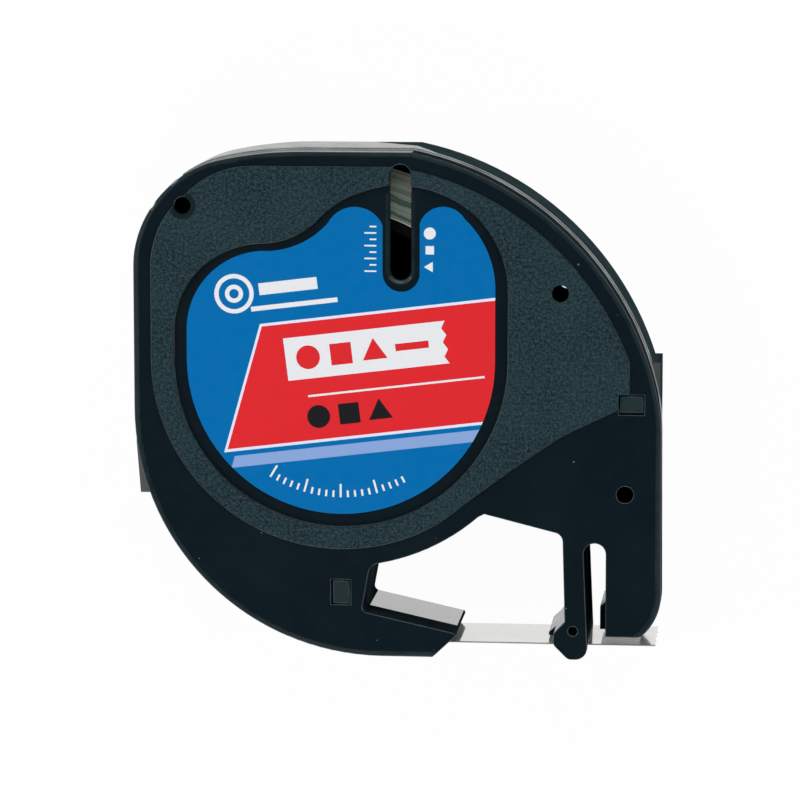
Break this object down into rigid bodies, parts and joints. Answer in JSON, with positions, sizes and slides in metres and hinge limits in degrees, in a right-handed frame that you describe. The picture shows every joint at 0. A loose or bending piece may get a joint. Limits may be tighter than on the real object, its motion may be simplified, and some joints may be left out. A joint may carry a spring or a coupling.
{
  "type": "label tape cassette",
  "caption": "Flat label tape cassette: a split casing holds a tape roll on a core, and the tape leaves an arm, crosses an open print window and passes under a finger.",
  "frame": {"origin": "middle of the bounding box's base: under the middle of the casing, on its rear face", "axes": "+X to the right and +Y up the label as it is read, +Z out of the label face"},
  "size_m": [0.0672, 0.0642, 0.016],
  "materials": {
    "casing": "moulded, glossy, with a grainy field",
    "printed_label": "printed, satin",
    "core": "moulded, satin",
    "winding": "edges of wound tape",
    "slip_washer": "satin",
    "roller": "satin",
    "spring_steel": "rolled",
    "felt": "felt",
    "tape_film": "satin film",
    "tape_liner": "coated paper"
  },
  "bodies": {
    "casing": {"front_shell": "casing", "rear_shell": "casing", "face_label": "printed_label", "spool_washer": "slip_washer", "brake_leaf": "spring_steel", "exit_felt": "felt", "lead_film": "tape_film", "lead_liner_rear": "tape_liner", "lead_liner_front": "tape_liner"},
    "spool": {"spool_core": "core", "tape_roll": "winding"},
    "guide": {"guide_roller": "roller"},
    "tape": {"strip_film": "tape_film", "strip_liner_rear": "tape_liner", "strip_liner_front": "tape_liner"}
  },
  "joints": [
    {"name": "spool_spin", "type": "hinge", "parent": "casing", "child": "spool", "pos_m": [-0.0068, 0.0058, 0.008], "axis": [0, 0, 1], "range_deg": [0, 20.6]},
    {"name": "tape_feed", "type": "slide", "parent": "casing", "child": "tape", "axis": [1, 0, 0], "range_m": [0, 0.009]},
    {"name": "guide_roller_spin", "type": "hinge", "parent": "casing", "child": "guide", "pos_m": [-0.00886, -0.02768, 0.008], "axis": [0, 0, 1], "continuous": true}
  ],
  "couplings": [
    {"joint": "tape_feed", "follows": "spool_spin", "m_per_rad": 0.02492},
    {"joint": "guide_roller_spin", "follows": "spool_spin", "ratio": 12.337}
  ]
}
